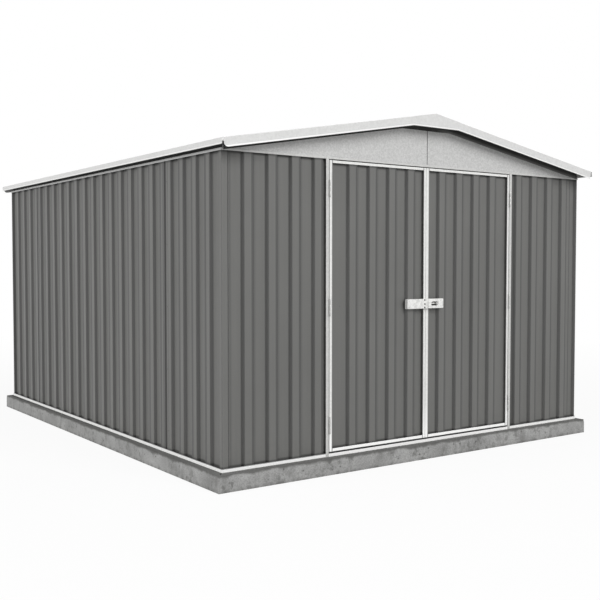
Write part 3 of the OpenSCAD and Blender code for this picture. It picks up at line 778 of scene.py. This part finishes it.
def cast_slab():
    """The slab as an outline of many short edges, raised in courses so that its sides and arris can wear."""
    low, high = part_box("concrete_slab")
    deselect()
    bpy.ops.mesh.primitive_plane_add(size=1)
    slab = bpy.context.object
    slab.name = "worn_concrete_slab"
    slab.scale = (high.x - low.x, high.y - low.y, 1)
    place_in_mesh(slab)
    edit(slab, "EDGE")
    bpy.ops.mesh.select_all(action="SELECT")
    bpy.ops.mesh.delete(type="ONLY_FACE")
    bpy.ops.mesh.select_all(action="SELECT")
    bpy.ops.mesh.subdivide(number_cuts=SLAB_CUTS)
    bpy.ops.mesh.select_all(action="SELECT")
    bpy.ops.mesh.edge_face_add()
    bpy.ops.mesh.select_mode(type="FACE")
    for course in SLAB_COURSES:
        extrude_up(course)
    for ring in SLAB_RINGS:
        bpy.ops.mesh.inset(thickness=ring)
    bpy.ops.mesh.select_all(action="SELECT")
    bpy.ops.mesh.normals_make_consistent(inside=False)
    leave_edit()
    reach = [max(abs(v.co.x) - high.x, abs(v.co.y) - high.y) for v in slab.data.vertices]
    outer = [v for v, past in zip(slab.data.vertices, reach) if past > -WORN_BAND]
    sides = slab.vertex_groups.new(name="rough_sides")
    sides.add([v.index for v in outer if v.co.z > WORN_FROM], 1, "REPLACE")
    arris = slab.vertex_groups.new(name="chipped_arris")
    arris.add([v.index for v in outer if v.co.z > SLAB_T - ARRIS_H], 1, "REPLACE")
    wear_down(slab, "rough_sides", size=0.05, depth=0.002, contrast=1.0, brightness=1.0)
    wear_down(slab, "chipped_arris", size=0.09, depth=0.005, contrast=1.6, brightness=0.8)
    write_mask(slab.data, "slab_top", [face.normal.z > 0.7 for face in slab.data.polygons])
    smooth(slab)
    finish_with(slab, CONCRETE)
    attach(slab, body_of["concrete_slab"])
    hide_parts("concrete_slab")
    return slab


shown["concrete_slab"] = cast_slab()


# Dark strips of painted shade under the roof at both gables, and dark lines of painted shade along the laps of the
# gable sheets

SHADE_STRIP_H, SHADE_STRIP_D, SHADE_STRIP_DROP, SHADE_STRIP_INSET = 0.041, 0.005, 0.0205, 0.016
SHADE_STRIP_SPARE_IN, SHADE_STRIP_SPARE_OUT = 0.05, 0.1
APEX_SHADE_STRIP_DROP, APEX_SHADE_STRIP_H, APEX_SHADE_STRIP_X, APEX_SHADE_STRIP_BACK = 0.0985, 0.036, 0.207, 0.0004
LAP_SHADE_W, LAP_SHADE_D, LAP_SHADE_FOOT = 0.004, 0.0015, WALL_TOP + 0.002
LAP_EDGE, GABLE_FACE = 0.005, HALF_D - TRIM_T
BAR_EASE = 0.0012


def shape_bar(name, low, high):
    """A bar between two corners, with eased edges along its front."""
    deselect()
    bpy.ops.mesh.primitive_cube_add(size=1, location=(Vector(low) + Vector(high)) / 2)
    bar = bpy.context.object
    bar.name = name
    bar.scale = Vector(high) - Vector(low)
    place_in_mesh(bar)
    edit(bar, "EDGE")
    leave_edit()
    front = min(v.co.y for v in bar.data.vertices)
    for line in bar.data.edges:
        line.select = all(bar.data.vertices[i].co.y < front + 1e-6 for i in line.vertices)
    bpy.ops.object.mode_set(mode="EDIT")
    bpy.ops.mesh.bevel(offset=BAR_EASE, segments=2, clamp_overlap=True)
    leave_edit()
    return bar


def gable_shade_strip(name, sign):
    """A dark strip of painted shade under one slope of the front gable, cut upright at the ridge line and over the
    wall.
    """
    length = HALF_W / math.cos(ROOF_PITCH) + SHADE_STRIP_SPARE_OUT
    low = (-SHADE_STRIP_SPARE_IN, -GABLE_FACE - SHADE_STRIP_D, -SHADE_STRIP_DROP - SHADE_STRIP_H)
    shade_strip = shape_bar(name, low, (length, -GABLE_FACE, -SHADE_STRIP_DROP))
    edit(shade_strip, "VERT")
    bpy.ops.mesh.select_all(action="SELECT")
    bpy.ops.transform.rotate(value=-ROOF_PITCH, orient_axis="Y", center_override=(0, 0, 0))
    bpy.ops.transform.translate(value=(0, 0, APEX_Z))
    for place_x, way in ((0.0, 1), (HALF_W - SHADE_STRIP_INSET, -1)):
        bpy.ops.mesh.select_all(action="SELECT")
        bpy.ops.mesh.bisect(plane_co=(place_x, 0, 0), plane_no=(way, 0, 0), clear_inner=True, use_fill=True)
    if sign < 0:
        bpy.ops.mesh.select_all(action="SELECT")
        bpy.ops.transform.resize(value=(-1, 1, 1), center_override=(0, 0, 0))
    bpy.ops.mesh.select_all(action="SELECT")
    bpy.ops.mesh.normals_make_consistent(inside=False)
    leave_edit()
    return shade_strip


def turn_to_rear(piece):
    """Turns a piece of the front gable round to the rear one."""
    edit(piece, "VERT")
    bpy.ops.mesh.select_all(action="SELECT")
    bpy.ops.transform.resize(value=(-1, -1, 1), center_override=(0, 0, 0))
    leave_edit()


for end in ("front", "rear"):
    strips = [gable_shade_strip(f"{end}_left_gable_shade_strip", -1), gable_shade_strip(f"{end}_right_gable_shade_strip", 1)]
    peak_low = APEX_Z - APEX_SHADE_STRIP_DROP
    # A dark bead as the painted shadow line along the lap edge of the gable sheets
    lap_shade_line = shape_bar(
        f"{end}_gable_lap_shade_strip",
        (LAP_EDGE, -GABLE_FACE - LAP_SHADE_D, LAP_SHADE_FOOT),
        (LAP_EDGE + LAP_SHADE_W, -GABLE_FACE, peak_low),
    )
    # A dark strip that carries the painted shade on under the apex
    peak = shape_bar(
        f"{end}_apex_shade_strip",
        (-APEX_SHADE_STRIP_X, APEX_SHADE_STRIP_BACK - GABLE_FACE - SHADE_STRIP_D, peak_low),
        (APEX_SHADE_STRIP_X, -GABLE_FACE, peak_low + APEX_SHADE_STRIP_H),
    )
    for piece in (*strips, peak, lap_shade_line):
        if end == "rear":
            turn_to_rear(piece)
        smooth(piece)
        finish_with(piece, SHADE_STRIP_FOAM)
        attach(piece, "shed")


# Fasteners, each modelled once and copied to its seats

TOP_EASE = 0.625


def model_rivet(radius, height):
    """Dome of a blind rivet, with its face up."""
    deselect()
    bpy.ops.mesh.primitive_uv_sphere_add(segments=12, ring_count=8, radius=1)
    rivet = bpy.context.object
    edit(rivet, "VERT")
    bpy.ops.mesh.select_all(action="SELECT")
    bpy.ops.mesh.bisect(plane_co=(0, 0, 0), plane_no=(0, 0, 1), clear_inner=True, use_fill=True)
    bpy.ops.mesh.select_all(action="SELECT")
    bpy.ops.transform.resize(value=(radius, radius, height), center_override=(0, 0, 0))
    leave_edit()
    smooth(rivet)
    return rivet


def model_hex_screw(washer, washer_t, corner, height, ease):
    """Roofing screw: round washer face and a hexagon head, of a radius to its corners, with an eased top."""
    deselect()
    bpy.ops.mesh.primitive_circle_add(vertices=12, radius=washer, fill_type="NGON")
    screw = bpy.context.object
    edit(screw, "FACE")
    bpy.ops.mesh.select_all(action="SELECT")
    extrude_up(washer_t)
    bpy.ops.mesh.inset(thickness=washer - corner)
    leave_edit()
    top = [face for face in screw.data.polygons if face.select][0]
    for index in list(top.vertices)[1::2]:
        screw.data.vertices[index].co.xy *= math.cos(math.pi / 6)
    bpy.ops.object.mode_set(mode="EDIT")
    extrude_up(height)
    bpy.ops.mesh.inset(thickness=ease)
    bpy.ops.transform.translate(value=(0, 0, ease * TOP_EASE))
    bpy.ops.mesh.select_all(action="SELECT")
    bpy.ops.mesh.normals_make_consistent(inside=False)
    leave_edit()
    return screw


SIDES = (("left", -1), ("right", 1))
FAR = 3
trees = {}


def seat(node, start, towards):
    """Where a line meets the piece that carries a fastener, and the way that its surface faces there."""
    if node not in trees:
        trees[node] = surface_tree(shown[node].data)
    point, out, _, _ = trees[node].ray_cast(Vector(start), Vector(towards))
    return None if point is None else (point, out)


def front_seat(node, x, z):
    return seat(node, (x, -FAR, z), (0, 1, 0))


def back_seat(node, x, z):
    return seat(node, (x, FAR, z), (0, -1, 0))


def side_seat(node, sign, y, z):
    return seat(node, (FAR * sign, y, z), (-sign, 0, 0))


def roof_seat(node, x, y):
    return seat(node, (x, y, FAR), (0, 0, -1))


def fasten(model, seats, name, body, material):
    """Copies a fastener to its seats and joins the copies as one piece on a body."""
    copies = []
    for point, out in filter(None, seats):
        copy = bpy.data.objects.new(name, model.data.copy())
        bpy.context.scene.collection.objects.link(copy)
        copy.matrix_world = Matrix.Translation(point) @ out.to_track_quat("Z", "Y").to_matrix().to_4x4()
        copies.append(copy)
    deselect()
    for copy in copies:
        copy.select_set(True)
    bpy.context.view_layer.objects.active = copies[0]
    bpy.ops.object.join()
    piece = bpy.context.object
    piece.name = name
    place_in_mesh(piece)
    finish_with(piece, material)
    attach(piece, body)


RIVET = model_rivet(radius=0.0036, height=0.0014)
SMALL_RIVET = model_rivet(radius=0.0026, height=0.0011)
CAPPED_RIVET = model_rivet(radius=0.0060, height=0.0014)
HEX_SCREW = model_hex_screw(washer=0.0080, washer_t=0.0012, corner=0.0052, height=0.0048, ease=0.0008)

BASE_Z, TOP_Z = SLAB_T + 0.012, WALL_TOP - 0.007
SIDE_RIBS = ((SIDE_FIRST_RIB, 3), (SIDE_MID_RIB, 14), (SIDE_REAR_RIB, 4))
FRONT_RIBS, BACK_RIBS, ROOF_RIBS = 4, 17, 23
SEAM_HEIGHTS = [0.24 + 0.38 * i for i in range(5)]
JAMB_RIVET_X, JAMB_HEIGHTS = JAMB_HALF + 0.012, (0.34, 0.72, 1.22, 1.60)
GABLE_HEIGHTS = (1.94, 2.02, 2.10)
RIDGE_SCREW_X, EAVE_SCREW_X = 0.082, HALF_W - 0.008
BARGE_Y, BARGE_PLACES, APEX_PLACE = ROOF_HALF_D - 0.016, (0.30, 0.70, 1.10, 1.48), 0.17
EAVE_Z = APEX_Z - EAVE_X * math.tan(ROOF_PITCH) - 0.012
EAVE_PLACES = (-1.65, -1.10, -0.55, 0, 0.55, 1.10, 1.65)

side_ribs = [first + i * RIB_PITCH for first, count in SIDE_RIBS for i in range(count)]
side_places = [rib + RIB_W / 2 - HALF_D for rib in side_ribs][::2]
seam_places = [SIDE_SEAM_RIB + SEAM_LAP - HALF_D, SIDE_REAR_RIB - SEAM_LAP - HALF_D]
front_ribs = [
    first + i * FRONT_PITCH for first in (LEFT_FIRST_RIB - HALF_W, RIGHT_FIRST_RIB) for i in range(FRONT_RIBS)
]
front_places = [rib + RIB_W / 2 for rib in front_ribs]
back_places = [BACK_FIRST_RIB - HALF_W + i * RIB_PITCH + RIB_W / 2 for i in range(0, BACK_RIBS, 2)]

base_seats, top_seats, seam_seats = [], [], []
for side, sign in SIDES:
    base_seats += [side_seat(side + "_base_channel", sign, y, BASE_Z) for y in side_places]
    top_seats += [side_seat(side + "_top_channel", sign, y, TOP_Z) for y in side_places]
    seam_seats += [side_seat(side + "_wall_sheet", sign, y, z) for y in seam_places for z in SEAM_HEIGHTS]
base_seats += [front_seat("front_base_channels", x, BASE_Z) for x in front_places]
top_seats += [front_seat("front_top_channel", x, TOP_Z) for x in front_places]
base_seats += [back_seat("back_base_channel", x, BASE_Z) for x in back_places]
top_seats += [back_seat("back_top_channel", x, TOP_Z) for x in back_places]
fasten(RIVET, base_seats, "base_channel_rivets", "shed", ZINC_TRIM)
fasten(RIVET, top_seats, "top_channel_rivets", "shed", JAMB_ZINC)
fasten(RIVET, seam_seats, "wall_seam_rivets", "shed", WALL_PAINT)

jamb_seats = [front_seat(side + "_jamb", sign * JAMB_RIVET_X, z) for side, sign in SIDES for z in JAMB_HEIGHTS]
fasten(SMALL_RIVET, jamb_seats, "jamb_rivets", "shed", JAMB_ZINC)

gable_seats = [front_seat("front_gable_sheets", 0, z) for z in GABLE_HEIGHTS]
gable_seats += [back_seat("rear_gable_sheets", 0, z) for z in GABLE_HEIGHTS]
fasten(SMALL_RIVET, gable_seats, "gable_lap_rivets", "shed", GALVANISED)

roof_crests = [-ROOF_HALF_D + ROOF_FIRST_RIB + i * RIB_PITCH + RIB_W / 2 for i in range(ROOF_RIBS)]
roof_seats = []
for side, sign in SIDES:
    roof_seats += [roof_seat("ridge_cap", sign * RIDGE_SCREW_X, y) for y in roof_crests[1:-1]]
    roof_seats += [roof_seat(side + "_roof_sheet", sign * EAVE_SCREW_X, y) for y in roof_crests[::2]]
fasten(HEX_SCREW, roof_seats, "roof_screws", "shed", HARDWARE)

barge_seats = []
for end, y in (("front", -BARGE_Y), ("rear", BARGE_Y)):
    for sign in (-1, 1):
        barge_seats += [roof_seat(end + "_barge_caps", sign * x, y) for x in BARGE_PLACES]
        barge_seats.append(roof_seat(end + "_apex_cap", sign * APEX_PLACE, y))
fasten(RIVET, barge_seats, "barge_rivets", "shed", CAP_ZINC)

eave_seats = [side_seat("eave_trims", sign, y, EAVE_Z) for sign in (-1, 1) for y in EAVE_PLACES]
fasten(SMALL_RIVET, eave_seats, "eave_trim_rivets", "shed", CAP_ZINC)


# Doors and latch: fasteners, and the strips that narrow the gaps between the leaves

STILE_MIDDLES, CORNER_RISE = (LEAF_X - 0.0100, LEAF_X - LEAF_W + 0.0105), 0.010
BRACE_PLACES = (0.69, 0.53, 0.37)
COVER_SCREWS = {
    "left": [(-0.165, 0.018), (-0.165, -0.018)],
    "right": [(0.108, 0.016), (0.108, -0.016)],
}
LAP_RIVETS = [(-0.031, 0.024), (-0.031, -0.002), (-0.031, -0.024)]
LEAF_FOOT, LEAF_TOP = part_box("left_door_stiles")[0].z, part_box("left_door_stiles")[1].z
for side, sign in SIDES:
    corner_seats = [
        front_seat(f"{side}_door_stiles", sign * x, z)
        for x in STILE_MIDDLES
        for z in (LEAF_FOOT + CORNER_RISE, LEAF_TOP - CORNER_RISE)
    ]
    fasten(SMALL_RIVET, corner_seats, f"{side}_door_corner_rivets", f"{side}_door", ZINC_TRIM)
    brace_seats = [front_seat(f"{side}_door_sheet", sign * x, LATCH_Z) for x in BRACE_PLACES]
    fasten(SMALL_RIVET, brace_seats, f"{side}_door_brace_rivets", f"{side}_door", WALL_PAINT)
    cover_seats = [front_seat(f"{side}_latch_cover", x, LATCH_Z + z) for x, z in COVER_SCREWS[side]]
    fasten(SMALL_RIVET, cover_seats, f"{side}_latch_screws", f"{side}_door", HARDWARE)


def edge_strip(name, box, out, lap, back, depth, short):
    """A strip along the meeting edge of a piece of the right leaf.

    It stands out from the edge, laps the piece, lies back from its face, reaches to a depth and stops short of
    both ends.
    """
    low, high = box
    start = (low.x - out, low.y + back, low.z + short)
    return shape_bar(name, start, (low.x + lap, low.y + depth, high.z - short))


latch_lip = edge_strip(
    "right_latch_lip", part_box("right_latch_cover"), out=0.0045, lap=0.0006, back=0.0003, depth=COVER_T, short=0.0006
)
meeting_strip = edge_strip(
    "right_door_meeting_strip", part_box("right_door_stiles"),
    out=0.0030, lap=0.0030, back=0.0004, depth=0.0030, short=0.004,
)
for piece, material, slot in ((latch_lip, COVER_ZINC, "hardware"), (meeting_strip, ZINC_TRIM, "zinc_trim")):
    smooth(piece)
    finish_with(piece, material)
    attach(piece, "right_door")

lap_seats = [front_seat("left_latch_cover", x, LATCH_Z + z) for x, z in LAP_RIVETS]
fasten(CAPPED_RIVET, lap_seats, "left_latch_rivets", "left_door", SHADE_STRIP_FOAM)

for model in (RIVET, SMALL_RIVET, CAPPED_RIVET, HEX_SCREW):
    bpy.data.objects.remove(model)


# Studio

FLOOR_SIZE, FLOOR_Z, FLOOR_ROUGH = 80, -0.001, 0.9
FLOOR_LIT, FLOOR_SEEN, FLOOR_GLOW = 0.55, 0.88, 0.90
FLOOR_NEAR, FLOOR_FAR = 3.0, 9.0
AMBIENT = 0.41
LIGHT_AIM = Vector((0, 0, 1))

deselect()
bpy.ops.mesh.primitive_plane_add(size=FLOOR_SIZE, location=(0, 0, FLOOR_Z))
floor = bpy.context.object
floor.name = "studio_floor"
pale, tree, shader, where = new_finish("studio_floor")
shader.inputs["Roughness"].default_value = FLOOR_ROUGH


def seen_rays(tree):
    """Rays that show the studio itself, straight or in a reflection, and not those that light the shed."""
    path = add(tree, "LightPath").outputs
    mirrored = larger(tree, path["Is Glossy Ray"], path["Is Transmission Ray"])
    return larger(tree, path["Is Camera Ray"], mirrored)


clear = seen_rays(tree)
tone = (FLOOR_LIT, FLOOR_LIT, FLOOR_LIT, 1), (FLOOR_SEEN, FLOOR_SEEN, FLOOR_SEEN, 1)
tree.links.new(blend(tree, clear, *tone), shader.inputs["Base Color"])
glow = add(tree, "Emission", {"Color": (1, 1, 1, 1), "Strength": 1.0})
away = add(tree, "VectorMath", {0: where}, operation="LENGTH").outputs["Value"]
share = times(tree, clear, ramp(tree, away, FLOOR_NEAR, FLOOR_FAR, FLOOR_GLOW, 1.0))
cover = add(tree, "MixShader", {0: share, 1: shader.outputs[0], 2: glow.outputs[0]})
tree.links.new(cover.outputs[0], tree.nodes["Material Output"].inputs["Surface"])
floor.data.materials.append(pale)

world = bpy.data.worlds.new("studio")
bpy.context.scene.world = world
world.use_nodes = True
tree = world.node_tree
strength = ramp(tree, seen_rays(tree), 0, 1, AMBIENT, 1.0)
tree.nodes["Background"].inputs["Color"].default_value = (1, 1, 1, 1)
tree.links.new(strength, tree.nodes["Background"].inputs["Strength"])


def soft_light(name, azimuth, elevation, distance, size, power):
    """A square soft box that faces the shed, at an azimuth from the front towards the right."""
    a, e = math.radians(azimuth), math.radians(elevation)
    back = Vector((math.sin(a) * math.cos(e), -math.cos(a) * math.cos(e), math.sin(e)))
    deselect()
    bpy.ops.object.light_add(type="AREA", location=back * distance + LIGHT_AIM)
    lamp = bpy.context.object
    lamp.name = name
    lamp.rotation_euler = (-back).to_track_quat("-Z", "Y").to_euler()
    lamp.data.size = size
    lamp.data.energy = power


soft_light("front_box", azimuth=5, elevation=31, distance=25, size=13, power=3700)
soft_light("left_box", azimuth=-92, elevation=22, distance=25, size=13, power=3250)

bpy.context.scene.view_settings.view_transform = "Standard"
